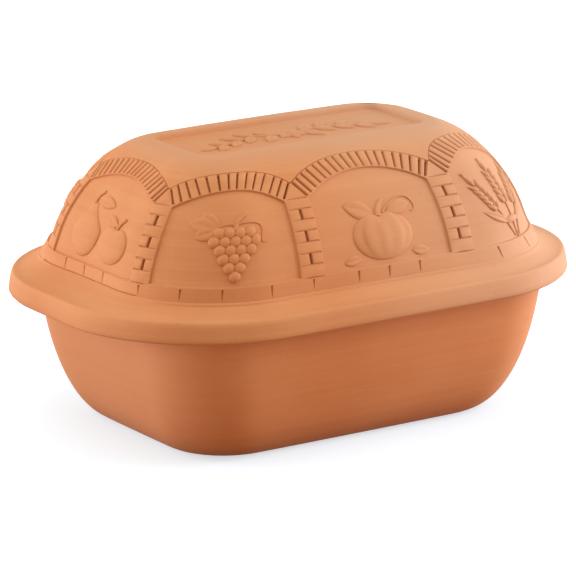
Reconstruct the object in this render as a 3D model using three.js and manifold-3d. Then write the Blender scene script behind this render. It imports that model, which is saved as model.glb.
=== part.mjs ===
// Two-piece clay roaster: an oval-cornered tub and a flanged, domed lid that lifts straight off.
// Millimetres, +Z up, +X along the length, origin at the centre of the flat underside.

import * as THREE from 'three';
import { mergeVertices } from 'three/addons/utils/BufferGeometryUtils.js';
import Module from 'manifold-3d';

// Base: a tub whose wall curves in to a flat bottom.
const RIM_LENGTH = 306;
const RIM_WIDTH = 226;
const RIM_CORNER = 50;
const BASE_HEIGHT = 90.5;
const BASE_WALL = 9;
const BASE_CURVE_IN = 31;
const BASE_TAPER = 7.5;
const BASE_CURVE_POWER = 2.12;
const BOTTOM_CORNER = 36;
const BASE_BOW = 1;

// Lid: a rounded flange that overhangs the tub all round, most at the two ends.
const FLANGE_LENGTH = 380;
const FLANGE_WIDTH = 257;
const FLANGE_CORNER = 101;
const FLANGE_BOW = 2;
const FLANGE_THICKNESS = 15.5;
const LOWER_ROUND_IN = 6.5;
const LOWER_ROUND_UP = 6;
const UPPER_ROUND_IN = 3.6;
const UPPER_ROUND_DOWN = 3.4;
const FLANGE_SLOPE_RISE = 7.5;
const FLANGE_COVE_POWER = 1.6;
const FOOT_FILLET = 1.6;

// Lid: the dome that rises from the flange to a flat top with a shallow recess.
const DOME_LENGTH = 319;
const DOME_WIDTH = 216;
const DOME_CORNER = 69.5;
const DOME_RISE = 79;
const DOME_CURVE_POWER = 1.62;
const DOME_BOW = 3;
const TOP_LENGTH = 201;
const TOP_WIDTH = 90;
const TOP_CORNER = 23;
const LID_WALL = 11;
const RECESS_LENGTH = 181;
const RECESS_WIDTH = 69;
const RECESS_CORNER = 8;
const RECESS_BOW = 1;
const RECESS_DEPTH = 4;
const RECESS_DRAFT = 1;
const RECESS_SHIFT_X = 2.5;
const RECESS_SHIFT_Y = 4.5;

// Lid: the rib under the flange that drops inside the tub's mouth.
const RIB_DROP = 4;
const RIB_THICKNESS = 6;
const RIB_CLEARANCE = 1.5;

// Lid: eight arched panels sunk into the dome, with pilasters between them and a plinth below.
// The pilasters of a long side stand at two distances from its middle, measured at the dome's foot.
// Those of an end stand on the corners and lean inwards, by two angles round the corner.
const PLINTH_HEIGHT = 9;
const SPRINGING_HEIGHT = 55.5;
const CROWN_HEIGHT = 66;
const ARCH_OVERREACH = 1.6;
const PANEL_DEPTH = 1.55;
const LONG_PILASTER_WIDTH = 19.5;
const LONG_PILASTER_NEAR = 53;
const LONG_PILASTER_FAR = 66.5;
const END_PILASTER_WIDTH = 14.5;
const END_PILASTER_FOOT_DEGREES = 16.3;
const END_PILASTER_SPRINGING_DEGREES = 20.6;

// Lid: the main joints scored between the bricks of the arches and the courses of the pilasters.
// They stop short of the panels' edges.
const BRICK_LENGTH = 15;
const JOINT_MARGIN = 1.5;
const ARCH_JOINTS = 4;
const ARCH_SPLAY_DEGREES = 27;
const ARCH_JOINT_WIDTH = 2.4;
const ARCH_JOINT_DEPTH = 1.8;
const PILASTER_BEDS = 2;
const BED_WIDTH = 1.6;
const BED_DEPTH = 1;

// Relief: each form has a width, a height and a rise out of the panel, and the place of its middle,
// across from the panel's middle and up from its foot. Leaves are placed by their root instead.
// Turns are in degrees, counter-clockwise from straight across.
const SQUASH = { width: 47, height: 33, rise: 3.2, x: 0, y: 20 };
const SQUASH_STEM = { width: 14, height: 5.5, rise: 1.8, x: 4, y: 39, turn: 60 };
const SQUASH_LEAVES = [
  { length: 23, width: 13, rise: 1.5, x: -3, y: 35, turn: 158 },
  { length: 20, width: 11, rise: 1.5, x: 7, y: 35, turn: 12 },
];
const GRAPE_SIZE = 6.5;
const GRAPE_RISE = 2.5;
const GRAPE_ROWS = [4, 5, 4, 3, 2, 1];
const GRAPE_PITCH = 6.9;
const GRAPE_ROW_PITCH = 5.7;
const GRAPE_TOP = 36;
const GRAPE_ASIDE = 3;
const GRAPE_LEAVES = [
  { length: 19, width: 11.8, rise: 1.5, x: -8, y: 40, turn: 170 },
  { length: 17, width: 10.5, rise: 1.5, x: -8, y: 40, turn: 205 },
  { length: 15, width: 9.3, rise: 1.5, x: -8, y: 40, turn: 138 },
];
const WHEAT_EARS = [
  { width: 46, height: 10, rise: 2.3, x: -15, y: 29, turn: 114 },
  { width: 50, height: 10, rise: 2.3, x: 1.5, y: 34, turn: 87 },
  { width: 46, height: 10, rise: 2.3, x: 18, y: 27, turn: 60 },
];
const WHEAT_BAND = { width: 15, height: 5, rise: 1.9, x: 0, y: 13.5, turn: 2 };
const WHEAT_LEAVES = [
  { length: 24, width: 6.5, rise: 1.5, x: -4, y: 12, turn: 152 },
  { length: 22, width: 6, rise: 1.5, x: 5, y: 11, turn: 34 },
];
const PEAR = { width: 33, height: 39, rise: 3.3, x: -16, y: 23, turn: 7 };
const APPLE = { width: 31, height: 26, rise: 3.1, x: 18, y: 18 };
const FRUIT_LEAVES = [
  { length: 22, width: 9, rise: 1.5, x: -17, y: 45, turn: -6 },
  { length: 16, width: 8, rise: 1.5, x: 17, y: 31, turn: 165 },
];

// Relief in the recess: two twigs with pairs of leaves that grow out of one flower.
const TWIG_START = 7;
const TWIG_LENGTH = 56;
const TWIG_SWAY = 6;
const TWIG_WAVES = 0.8;
const TWIG_PAIRS = 4;
const TWIG_FIRST_PAIR = 0.25;
const TWIG_LEAF = { length: 17, width: 8.5, rise: 2 };
const TWIG_LEAF_SPREAD = 48;
const TWIG_LEAF_STAGGER = 0.12;
const PETALS = 6;
const PETAL = { length: 12, width: 8, rise: 2 };
const FLOWER_HEART = { width: 7, height: 7, rise: 3, x: 0, y: 0 };

// Relief: how leaves narrow to their points, ears to their tips and a pear to its neck.
const LEAF_POINT_POWER = 0.45;
const EAR_TIP_TAPER = 0.6;
const PEAR_NECK_TAPER = 0.56;
const PEAR_SHOULDER = -0.2;
const PEAR_NECK = 0.7;

// Facets: steps round one corner, along half a long side, along half an end and up a curved wall.
// A form in relief has steps round it and from its crest to its back, an odd number, so that it passes
// through the panel between two rings of facets.
const CORNER_STEPS = 8;
const LONG_STEPS = 2;
const SHORT_STEPS = 2;
const WALL_STEPS = 8;
const HOLLOW_STEPS = 9;
const ROUND_STEPS = 4;
const COVE_STEPS = 3;
const ARCH_STEPS = 8;
const SLOPE_STEPS = 300;
const POD_STEPS = [6, 3];
const GRAPE_STEPS = [5, 3];
const FRUIT_STEPS = [12, 5];
const GROOVE_SIDES = 4;
const WELD_DISTANCE = 1e-4;

const TERRACOTTA = { color: 0xd99a72, roughness: 0.9, metalness: 0 };
const RIGHT_ANGLE = Math.PI / 2;
const TURNS = 12;
const TURNS_IN_QUARTER = 3;
const DOME_FOOT_Z = BASE_HEIGHT + FLANGE_THICKNESS + FLANGE_SLOPE_RISE;

// A plan outline is a rectangle with round corners and sides that bow out a little.
function plan(length, width, corner, bow) {
  return { length, width, corner, bow };
}

function inset(outline, distance) {
  const { length, width, corner, bow } = outline;
  return plan(length - 2 * distance, width - 2 * distance, Math.max(corner - distance, 1), bow);
}

function blend(from, to, share) {
  const mix = (key) => THREE.MathUtils.lerp(from[key], to[key], share);
  return plan(mix('length'), mix('width'), mix('corner'), mix('bow'));
}

// A place on an outline is a number of turns: 12 go once round, counter-clockwise from the middle of
// the +X end, and each stands for half an end side, a corner or half a long side.
function planPoint({ length, width, corner, bow }, turn) {
  const wrapped = THREE.MathUtils.euclideanModulo(turn, TURNS);
  const quarter = Math.floor(wrapped / TURNS_IN_QUARTER);
  const past = wrapped - quarter * TURNS_IN_QUARTER;
  const local = quarter % 2 === 0 ? past : TURNS_IN_QUARTER - past;
  const angle = THREE.MathUtils.clamp(local - 1, 0, 1) * RIGHT_ANGLE;
  const a = length / 2 - bow;
  const b = width / 2 - bow;
  const x = Math.min(TURNS_IN_QUARTER - local, 1) * (a - corner) + corner * Math.cos(angle);
  const y = Math.min(local, 1) * (b - corner) + corner * Math.sin(angle);
  const outX = x + bow * (x / a) ** 2 * (1 - (y / b) ** 2);
  const outY = y + bow * (y / b) ** 2 * (1 - (x / a) ** 2);
  return new THREE.Vector2(quarter === 0 || quarter === 3 ? outX : -outX, quarter < 2 ? outY : -outY);
}

// The lengths of the three turns in a quarter of an outline.
function legs({ length, width, corner, bow }, quarter) {
  const fromEnd = [width / 2 - bow - corner, corner * RIGHT_ANGLE, length / 2 - bow - corner];
  return quarter % 2 === 0 ? fromEnd : fromEnd.reverse();
}

// How far along an outline a turn lies.
function walked(outline, turn) {
  const quarter = Math.floor(turn / TURNS_IN_QUARTER);
  const local = turn - quarter * TURNS_IN_QUARTER;
  const sides = legs(outline, quarter);
  const done = sides.reduce((sum, leg, i) => sum + THREE.MathUtils.clamp(local - i, 0, 1) * leg, 0);
  return quarter * sides.reduce((sum, leg) => sum + leg, 0) + done;
}

// The turn that lies a distance along an outline.
function turned(outline, distance) {
  const round = legs(outline, 0).reduce((sum, leg) => sum + leg, 0);
  const quarter = Math.floor(distance / round);
  const sides = legs(outline, quarter);
  let left = distance - quarter * round;
  let leg = 0;
  while (leg < TURNS_IN_QUARTER - 1 && left > sides[leg]) {
    left -= sides[leg];
    leg += 1;
  }
  return quarter * TURNS_IN_QUARTER + leg + left / sides[leg];
}

const QUARTER_STEPS = [SHORT_STEPS, CORNER_STEPS, LONG_STEPS];
const HALF_STEPS = [...QUARTER_STEPS, ...QUARTER_STEPS.toReversed()];
const STATIONS = [...HALF_STEPS, ...HALF_STEPS].flatMap(
  (steps, leg) => Array.from({ length: steps }, (_, step) => leg + step / steps),
);

const CENTRED = new THREE.Vector2(0, 0);
const OUT = new THREE.Vector3(0, 0, 1);

// A closed body skinned over a stack of outlines, with flat caps on the first and the last.
// The stack may turn back on itself, so that one skin runs over the outside and the inside.
function loft(sections) {
  const rings = sections.map(({ outline, z, shift = CENTRED }) => STATIONS.map((turn) => {
    const { x, y } = planPoint(outline, turn).add(shift);
    return [x, y, z];
  }));
  const count = rings[0].length;
  const positions = rings.flat();
  const indices = [];
  for (let ring = 0; ring + 1 < rings.length; ring += 1) {
    for (let i = 0; i < count; i += 1) {
      const a = ring * count + i;
      const b = ring * count + (i + 1) % count;
      indices.push(a, b, b + count, a, b + count, a + count);
    }
  }
  const cap = (ring, faceUp) => {
    const centre = positions.length;
    positions.push([0, 0, sections[ring].z]);
    for (let i = 0; i < count; i += 1) {
      const a = ring * count + i;
      const b = ring * count + (i + 1) % count;
      indices.push(...(faceUp ? [centre, a, b] : [centre, b, a]));
    }
  };
  cap(0, false);
  cap(rings.length - 1, true);
  const geometry = new THREE.BufferGeometry();
  geometry.setAttribute('position', new THREE.Float32BufferAttribute(positions.flat(), 3));
  geometry.setIndex(indices);
  return geometry;
}

const wasm = await Module();
wasm.setup();

function toSolid(geometry) {
  const bare = geometry.clone();
  bare.deleteAttribute('normal');
  bare.deleteAttribute('uv');
  const merged = mergeVertices(bare, WELD_DISTANCE);
  return new wasm.Manifold(new wasm.Mesh({
    numProp: 3,
    vertProperties: new Float32Array(merged.attributes.position.array),
    triVerts: new Uint32Array(merged.index.array),
  }));
}

function toGeometry(solid) {
  const { vertProperties, triVerts } = solid.getMesh();
  const geometry = new THREE.BufferGeometry();
  geometry.setAttribute('position', new THREE.BufferAttribute(vertProperties, 3));
  geometry.setIndex(new THREE.BufferAttribute(triVerts, 1));
  return geometry;
}

// A wall that follows a superellipse, as the level and the inward run at one angle of its quarter.
// across is 1 where the wall is upright and 0 where it is flat; along is the other way round.
function quarterCurve(angle, power, run, rise) {
  const across = Math.max(Math.cos(angle), 0) ** (2 / power);
  const along = Math.max(Math.sin(angle), 0) ** (2 / power);
  const normal = new THREE.Vector2(across ** (power - 1) / run, along ** (power - 1) / rise).normalize();
  return { across, along, normal };
}

const RIM = plan(RIM_LENGTH, RIM_WIDTH, RIM_CORNER, BASE_BOW);

function baseSection(angle, depth) {
  const curve = quarterCurve(angle, BASE_CURVE_POWER, BASE_CURVE_IN, BASE_HEIGHT);
  const share = 1 - curve.across;
  const level = inset(RIM, BASE_CURVE_IN * share + BASE_TAPER * curve.along + depth * curve.normal.x);
  level.corner = Math.max(THREE.MathUtils.lerp(RIM_CORNER, BOTTOM_CORNER, share) - depth * curve.normal.x, 1);
  return { outline: level, z: BASE_HEIGHT * (1 - curve.along) + depth * curve.normal.y };
}

function baseGeometry() {
  const angles = Array.from({ length: WALL_STEPS + 1 }, (_, step) => (step / WALL_STEPS) * RIGHT_ANGLE);
  const inside = angles.map((angle) => baseSection(angle, BASE_WALL));
  const outside = angles.map((angle) => baseSection(angle, 0)).reverse();
  return loft([...outside, ...inside]);
}

const RECESS_SHIFT = new THREE.Vector2(RECESS_SHIFT_X, RECESS_SHIFT_Y);
const DOME_FOOT = plan(DOME_LENGTH, DOME_WIDTH, DOME_CORNER, DOME_BOW);
const DOME_TOP = plan(TOP_LENGTH, TOP_WIDTH, TOP_CORNER, DOME_BOW);
const DOME_RUN = (DOME_LENGTH - TOP_LENGTH + DOME_WIDTH - TOP_WIDTH) / 4;

function domeSection(angle, depth) {
  const curve = quarterCurve(angle, DOME_CURVE_POWER, DOME_RUN, DOME_RISE);
  const level = blend(DOME_FOOT, DOME_TOP, 1 - curve.across);
  const z = DOME_FOOT_Z + DOME_RISE * curve.along - depth * curve.normal.y;
  return { outline: inset(level, depth * curve.normal.x), z };
}

function domeSections(depth, steps) {
  return Array.from({ length: steps + 1 }, (_, step) => domeSection((step / steps) * RIGHT_ANGLE, depth));
}

// The dome's plan outline at a height above its foot.
function domeOutlineAt(height) {
  const across = (1 - (height / DOME_RISE) ** DOME_CURVE_POWER) ** (1 / DOME_CURVE_POWER);
  return blend(DOME_FOOT, DOME_TOP, 1 - across);
}

function flangeSections() {
  const flange = plan(FLANGE_LENGTH, FLANGE_WIDTH, FLANGE_CORNER, FLANGE_BOW);
  const top = BASE_HEIGHT + FLANGE_THICKNESS;
  const sections = [];
  for (let step = 0; step <= ROUND_STEPS; step += 1) {
    const angle = (step / ROUND_STEPS) * RIGHT_ANGLE;
    sections.push({
      outline: inset(flange, LOWER_ROUND_IN * (1 - Math.sin(angle))),
      z: BASE_HEIGHT + LOWER_ROUND_UP * (1 - Math.cos(angle)),
    });
  }
  for (let step = 0; step <= ROUND_STEPS; step += 1) {
    const angle = (step / ROUND_STEPS) * RIGHT_ANGLE;
    sections.push({
      outline: inset(flange, UPPER_ROUND_IN * (1 - Math.cos(angle))),
      z: top - UPPER_ROUND_DOWN * (1 - Math.sin(angle)),
    });
  }
  const crest = inset(flange, UPPER_ROUND_IN);
  const foot = inset(DOME_FOOT, -FOOT_FILLET);
  const rise = FLANGE_SLOPE_RISE - 2 * FOOT_FILLET;
  for (let step = 1; step <= COVE_STEPS; step += 1) {
    const share = step / COVE_STEPS;
    sections.push({ outline: blend(crest, foot, share), z: top + rise * share ** FLANGE_COVE_POWER });
  }
  return sections;
}

function lidBody() {
  const ribOutside = inset(RIM, BASE_WALL + RIB_CLEARANCE);
  const ribInside = inset(ribOutside, RIB_THICKNESS);
  const recess = plan(RECESS_LENGTH, RECESS_WIDTH, RECESS_CORNER, RECESS_BOW);
  const topZ = DOME_FOOT_Z + DOME_RISE;
  return loft([
    ...domeSections(LID_WALL, HOLLOW_STEPS).reverse(),
    { outline: ribInside, z: BASE_HEIGHT },
    { outline: ribInside, z: BASE_HEIGHT - RIB_DROP },
    { outline: ribOutside, z: BASE_HEIGHT - RIB_DROP },
    { outline: ribOutside, z: BASE_HEIGHT },
    ...flangeSections(),
    ...domeSections(0, WALL_STEPS),
    { outline: recess, z: topZ, shift: RECESS_SHIFT },
    { outline: inset(recess, RECESS_DRAFT), z: topZ - RECESS_DEPTH, shift: RECESS_SHIFT },
  ]);
}

// An arch is the top of an ellipse that would reach further than the panel, from -1 to 1 across it.
const ARCH_FLAT = Math.sqrt(1 - 1 / ARCH_OVERREACH ** 2);
const ARCH_HALF_HEIGHT = (CROWN_HEIGHT - SPRINGING_HEIGHT) / (1 - ARCH_FLAT);

function archHeight(reach) {
  return CROWN_HEIGHT - ARCH_HALF_HEIGHT * (1 - Math.sqrt(1 - (reach / ARCH_OVERREACH) ** 2));
}

// One arched window, extruded outwards square to the line between its two lower corners.
function archedPrism(footLeft, footRight, springLeft, springRight) {
  const along = footRight.clone().sub(footLeft).normalize();
  const outward = new THREE.Vector3(along.y, -along.x, 0);
  const middle = footLeft.clone().add(footRight).multiplyScalar(0.5);
  const offset = (point) => point.clone().sub(middle).dot(along);
  const left = offset(springLeft);
  const right = offset(springRight);
  const shape = new THREE.Shape();
  shape.moveTo(offset(footLeft), PLINTH_HEIGHT);
  shape.lineTo(offset(footRight), PLINTH_HEIGHT);
  shape.lineTo(right, SPRINGING_HEIGHT);
  const reach = ((right - left) / 2) * ARCH_OVERREACH;
  const lean = Math.acos(1 / ARCH_OVERREACH);
  const centre = new THREE.Vector2((left + right) / 2, CROWN_HEIGHT - ARCH_HALF_HEIGHT);
  shape.absellipse(centre.x, centre.y, reach, ARCH_HALF_HEIGHT, lean, Math.PI - lean, false);
  shape.closePath();
  const depth = DOME_WIDTH;
  const prism = new THREE.ExtrudeGeometry(shape, { depth, bevelEnabled: false, curveSegments: ARCH_STEPS });
  const frame = new THREE.Matrix4().makeBasis(
    new THREE.Vector3(along.x, along.y, 0),
    new THREE.Vector3(0, 0, 1),
    outward,
  );
  const start = new THREE.Vector3(middle.x, middle.y, 0).addScaledVector(outward, -DOME_RUN);
  frame.setPosition(start.x, start.y, DOME_FOOT_Z);
  return toSolid(prism.applyMatrix4(frame));
}

// Eight pilasters, counter-clockwise from the +X end, and the first again a full turn later.
function pilasters() {
  const halfLong = legs(DOME_FOOT, 0)[2];
  const near = TURNS_IN_QUARTER - LONG_PILASTER_NEAR / halfLong;
  const far = TURNS_IN_QUARTER + LONG_PILASTER_FAR / halfLong;
  const low = 1 + THREE.MathUtils.degToRad(END_PILASTER_FOOT_DEGREES) / RIGHT_ANGLE;
  const high = 1 + THREE.MathUtils.degToRad(END_PILASTER_SPRINGING_DEGREES) / RIGHT_ANGLE;
  const half = TURNS / 2;
  const side = [
    { foot: low, springing: high, width: END_PILASTER_WIDTH },
    { foot: near, springing: near, width: LONG_PILASTER_WIDTH },
    { foot: far, springing: far, width: LONG_PILASTER_WIDTH },
    { foot: half - low, springing: half - high, width: END_PILASTER_WIDTH },
  ];
  const moved = ({ foot, springing, width }, turns) => {
    return { foot: foot + turns, springing: springing + turns, width };
  };
  return [...side, ...side.map((pilaster) => moved(pilaster, half)), moved(side[0], TURNS)];
}

function bays() {
  const ring = pilasters();
  return ring.slice(1).map((last, i) => ({ first: ring[i], last }));
}

// Where a panel begins and ends along the dome's outline at a height above its foot.
function panelEdges({ first, last }, outline, height) {
  const turn = ({ foot, springing }) => THREE.MathUtils.lerp(foot, springing, height / SPRINGING_HEIGHT);
  const left = walked(outline, turn(first)) + first.width / 2;
  const right = walked(outline, turn(last)) - last.width / 2;
  return { left, right };
}

function panelCut(bay) {
  const corners = [PLINTH_HEIGHT, SPRINGING_HEIGHT].flatMap((height) => {
    const outline = domeOutlineAt(height);
    const { left, right } = panelEdges(bay, outline, height);
    return [planPoint(outline, turned(outline, left)), planPoint(outline, turned(outline, right))];
  });
  return archedPrism(...corners);
}

// The climb up the dome's slope at each step of its curve.
function slopeClimbs() {
  const climbs = [];
  let last = new THREE.Vector2(0, 0);
  for (let step = 0; step <= SLOPE_STEPS; step += 1) {
    const angle = (step / SLOPE_STEPS) * RIGHT_ANGLE;
    const { across, along } = quarterCurve(angle, DOME_CURVE_POWER, DOME_RUN, DOME_RISE);
    const here = new THREE.Vector2(DOME_RUN * (1 - across), DOME_RISE * along);
    climbs.push({ angle, height: here.y, climb: (climbs.at(-1)?.climb ?? 0) + here.distanceTo(last) });
    last = here;
  }
  return climbs;
}

const SLOPE = slopeClimbs();
const PLINTH_CLIMB = SLOPE.find(({ height }) => height >= PLINTH_HEIGHT).climb;

// How far up the slope a height lies, from the plinth.
function climbTo(level) {
  return SLOPE.find(({ height }) => height >= level).climb - PLINTH_CLIMB;
}

// From a flat place in a bay, across, up and out, to a point on the dome, or on the dome sunk by a depth.
function onDome(bay, depth) {
  return ({ x, y, z }) => {
    const step = Math.max(SLOPE.findIndex(({ climb }) => climb >= PLINTH_CLIMB + y), 1);
    const [low, high] = [SLOPE[step - 1], SLOPE[step]];
    const share = (PLINTH_CLIMB + y - low.climb) / (high.climb - low.climb);
    const angle = THREE.MathUtils.lerp(low.angle, high.angle, share);
    const skin = domeSection(angle, 0);
    const { left, right } = panelEdges(bay, skin.outline, skin.z - DOME_FOOT_Z);
    const turn = turned(skin.outline, (left + right) / 2 + x);
    const sunk = domeSection(angle, depth - z);
    const at = planPoint(sunk.outline, turn);
    return new THREE.Vector3(at.x, at.y, sunk.z);
  };
}

function halfPanel(bay, height) {
  const { left, right } = panelEdges(bay, domeOutlineAt(height), height);
  return (right - left) / 2;
}

// A bar with a pointed section between two flat places, to cut a groove of a width and a depth.
function groove(from, to, width, depth, bend) {
  const along = to.clone().sub(from);
  const bar = new THREE.CylinderGeometry(1, 1, along.length(), GROOVE_SIDES).scale(width / 2, 1, depth);
  bar.rotateZ(Math.atan2(-along.x, along.y)).translate((from.x + to.x) / 2, (from.y + to.y) / 2, 0);
  const { position } = bar.attributes;
  for (let i = 0; i < position.count; i += 1) {
    position.setXYZ(i, ...bend(new THREE.Vector3().fromBufferAttribute(position, i)));
  }
  return toSolid(bar);
}

function archJoints(bay) {
  const half = halfPanel(bay, SPRINGING_HEIGHT);
  return Array.from({ length: ARCH_JOINTS }, (_, joint) => {
    const reach = (2 * joint) / (ARCH_JOINTS - 1) - 1;
    const splay = reach * THREE.MathUtils.degToRad(ARCH_SPLAY_DEGREES);
    const foot = new THREE.Vector2(reach * half, climbTo(archHeight(reach)));
    const brick = new THREE.Vector2(Math.sin(splay), Math.cos(splay));
    const start = foot.clone().addScaledVector(brick, JOINT_MARGIN);
    const stop = foot.clone().addScaledVector(brick, BRICK_LENGTH);
    return groove(start, stop, ARCH_JOINT_WIDTH, ARCH_JOINT_DEPTH, onDome(bay, 0));
  });
}

// The beds of the pilaster on the left of a bay.
function pilasterBeds(bay) {
  return Array.from({ length: PILASTER_BEDS }, (_, bed) => {
    const height = THREE.MathUtils.lerp(PLINTH_HEIGHT, SPRINGING_HEIGHT, (bed + 1) / (PILASTER_BEDS + 1));
    const right = new THREE.Vector2(-halfPanel(bay, height) - JOINT_MARGIN, climbTo(height));
    const left = new THREE.Vector2(right.x - bay.first.width + 2 * JOINT_MARGIN, right.y);
    return groove(left, right, BED_WIDTH, BED_DEPTH, onDome(bay, 0));
  });
}

function inRecess({ x, y, z }) {
  const floor = DOME_FOOT_Z + DOME_RISE - RECESS_DEPTH;
  return new THREE.Vector3(x + RECESS_SHIFT.x, y + RECESS_SHIFT.y, floor + z);
}

// Pointed at both ends.
function leafShape(point) {
  point.y *= Math.max(1 - point.x ** 2, 0) ** LEAF_POINT_POWER;
}

// Round at its foot and pointed at its tip, towards +X.
function earShape(point) {
  const taper = 1 - EAR_TIP_TAPER * ((point.x + 1) / 2) ** 2;
  point.y *= taper;
  point.z *= taper;
}

// Full below and narrow above.
function pearShape(point) {
  const taper = 1 - PEAR_NECK_TAPER * THREE.MathUtils.smoothstep(point.y, PEAR_SHOULDER, PEAR_NECK);
  point.x *= taper;
  point.z *= taper;
}

// A squashed sphere, half out of the clay, with its crest towards the viewer of the panel.
function pod(form, bend, steps, shape) {
  const waist = Math.cos(RIGHT_ANGLE / steps[1]);
  const ball = new THREE.SphereGeometry(1, ...steps).rotateX(RIGHT_ANGLE).scale(1 / waist, 1 / waist, 1);
  const size = new THREE.Vector3(form.width / 2, form.height / 2, form.rise);
  const turn = THREE.MathUtils.degToRad(form.turn ?? 0);
  const { position } = ball.attributes;
  for (let i = 0; i < position.count; i += 1) {
    const point = new THREE.Vector3().fromBufferAttribute(position, i);
    shape?.(point);
    point.multiply(size).applyAxisAngle(OUT, turn);
    point.add(new THREE.Vector3(form.x, form.y, 0));
    position.setXYZ(i, ...bend(point));
  }
  return toSolid(ball);
}

function leaf({ length, width, rise, x, y, turn }, bend) {
  const angle = THREE.MathUtils.degToRad(turn);
  const middle = { x: x + (length / 2) * Math.cos(angle), y: y + (length / 2) * Math.sin(angle) };
  return pod({ width: length, height: width, rise, turn, ...middle }, bend, POD_STEPS, leafShape);
}

function squash(bend) {
  return [
    pod(SQUASH, bend, FRUIT_STEPS),
    pod(SQUASH_STEM, bend, POD_STEPS),
    ...SQUASH_LEAVES.map((form) => leaf(form, bend)),
  ];
}

function grapes(bend) {
  const berries = GRAPE_ROWS.flatMap((count, row) => Array.from({ length: count }, (_, i) => ({
    width: GRAPE_SIZE,
    height: GRAPE_SIZE,
    rise: GRAPE_RISE,
    x: (i - (count - 1) / 2) * GRAPE_PITCH + GRAPE_ASIDE,
    y: GRAPE_TOP - row * GRAPE_ROW_PITCH,
  })));
  return [
    ...berries.map((form) => pod(form, bend, GRAPE_STEPS)),
    ...GRAPE_LEAVES.map((form) => leaf(form, bend)),
  ];
}

function wheat(bend) {
  return [
    ...WHEAT_EARS.map((form) => pod(form, bend, POD_STEPS, earShape)),
    pod(WHEAT_BAND, bend, POD_STEPS),
    ...WHEAT_LEAVES.map((form) => leaf(form, bend)),
  ];
}

function fruit(bend) {
  return [
    pod(PEAR, bend, FRUIT_STEPS, pearShape),
    pod(APPLE, bend, FRUIT_STEPS),
    ...FRUIT_LEAVES.map((form) => leaf(form, bend)),
  ];
}

function garland() {
  const forms = [pod(FLOWER_HEART, inRecess, POD_STEPS)];
  for (let petal = 0; petal < PETALS; petal += 1) {
    const turn = ((petal + 0.5) / PETALS) * 360;
    forms.push(leaf({ ...PETAL, x: 0, y: 0, turn }, inRecess));
  }
  for (const hand of [-1, 1]) {
    const twig = (share) => ({
      x: hand * (TWIG_START + TWIG_LENGTH * share),
      y: TWIG_SWAY * Math.sin(share * TWIG_WAVES * 2 * Math.PI),
    });
    const ahead = 90 - hand * 90;
    forms.push(leaf({ ...TWIG_LEAF, ...twig(1), turn: ahead }, inRecess));
    for (let pair = 0; pair < TWIG_PAIRS; pair += 1) {
      for (const swing of [-1, 1]) {
        const root = twig((pair + TWIG_FIRST_PAIR + swing * TWIG_LEAF_STAGGER) / TWIG_PAIRS);
        forms.push(leaf({ ...TWIG_LEAF, ...root, turn: ahead + swing * TWIG_LEAF_SPREAD }, inRecess));
      }
    }
  }
  return forms;
}

// The panels are sunk by the same depth everywhere, so each prism is cut only through the dome's skin.
// The relief is clay of the lid itself, so its forms are joined to it.
function lidGeometry() {
  const heart = toSolid(loft(domeSections(PANEL_DEPTH, WALL_STEPS)));
  const cuts = bays().flatMap((bay) => [
    panelCut(bay).subtract(heart),
    ...archJoints(bay),
    ...pilasterBeds(bay),
  ]);
  const scored = wasm.Manifold.difference([toSolid(lidBody()), ...cuts]);
  const pictures = [grapes, squash, wheat, fruit];
  const relief = bays().flatMap((bay, i) => pictures[i % pictures.length](onDome(bay, PANEL_DEPTH)));
  return toGeometry(wasm.Manifold.union([scored, ...relief, ...garland()]));
}

function piece(name, geometry) {
  const mesh = new THREE.Mesh(geometry, new THREE.MeshStandardMaterial(TERRACOTTA));
  mesh.name = name;
  return mesh;
}

const roaster = new THREE.Group();
roaster.add(piece('roaster_base', baseGeometry()));
roaster.add(piece('roaster_lid', lidGeometry()));

export default roaster;
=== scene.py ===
# %% [markdown]
# # A two-piece clay roaster
# The real object is two pressed and fired clay bodies: a tub, and a domed lid that rests on it by a
# wide rounded flange. The lid's dome carries a ring of brick arches in low relief.
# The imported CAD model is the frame: it fixes every size and place, and these meshes stand in for its
# two plain solids with the full relief and the finish of unglazed terracotta.

# %% Load the frame
import bisect
import random
from functools import lru_cache
from math import cos, degrees, hypot, pi, radians, sin, sqrt

import bmesh
import bpy
from mathutils import Matrix, Vector


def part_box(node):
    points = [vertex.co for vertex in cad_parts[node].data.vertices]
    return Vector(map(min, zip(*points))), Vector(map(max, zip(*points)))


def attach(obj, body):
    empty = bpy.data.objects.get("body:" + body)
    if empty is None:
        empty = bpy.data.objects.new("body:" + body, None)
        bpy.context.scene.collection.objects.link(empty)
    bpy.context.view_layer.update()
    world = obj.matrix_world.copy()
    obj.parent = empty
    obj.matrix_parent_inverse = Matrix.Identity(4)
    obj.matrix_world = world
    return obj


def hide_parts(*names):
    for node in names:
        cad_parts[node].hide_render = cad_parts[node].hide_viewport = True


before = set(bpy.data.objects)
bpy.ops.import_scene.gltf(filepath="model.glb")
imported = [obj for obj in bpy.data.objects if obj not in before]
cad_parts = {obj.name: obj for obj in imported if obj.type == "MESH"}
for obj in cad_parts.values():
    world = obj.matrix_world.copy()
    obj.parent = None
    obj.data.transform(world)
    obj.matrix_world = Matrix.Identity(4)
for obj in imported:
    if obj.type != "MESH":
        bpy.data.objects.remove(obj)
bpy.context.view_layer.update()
MM = 0.001
BASE_LOW, BASE_HIGH = (Vector(corner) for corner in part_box("roaster_base"))
LID_LOW, LID_HIGH = (Vector(corner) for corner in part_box("roaster_lid"))
RIM_Z = BASE_HIGH.z
print("tub", tuple(BASE_HIGH - BASE_LOW), "lid", tuple(LID_HIGH - LID_LOW))

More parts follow.
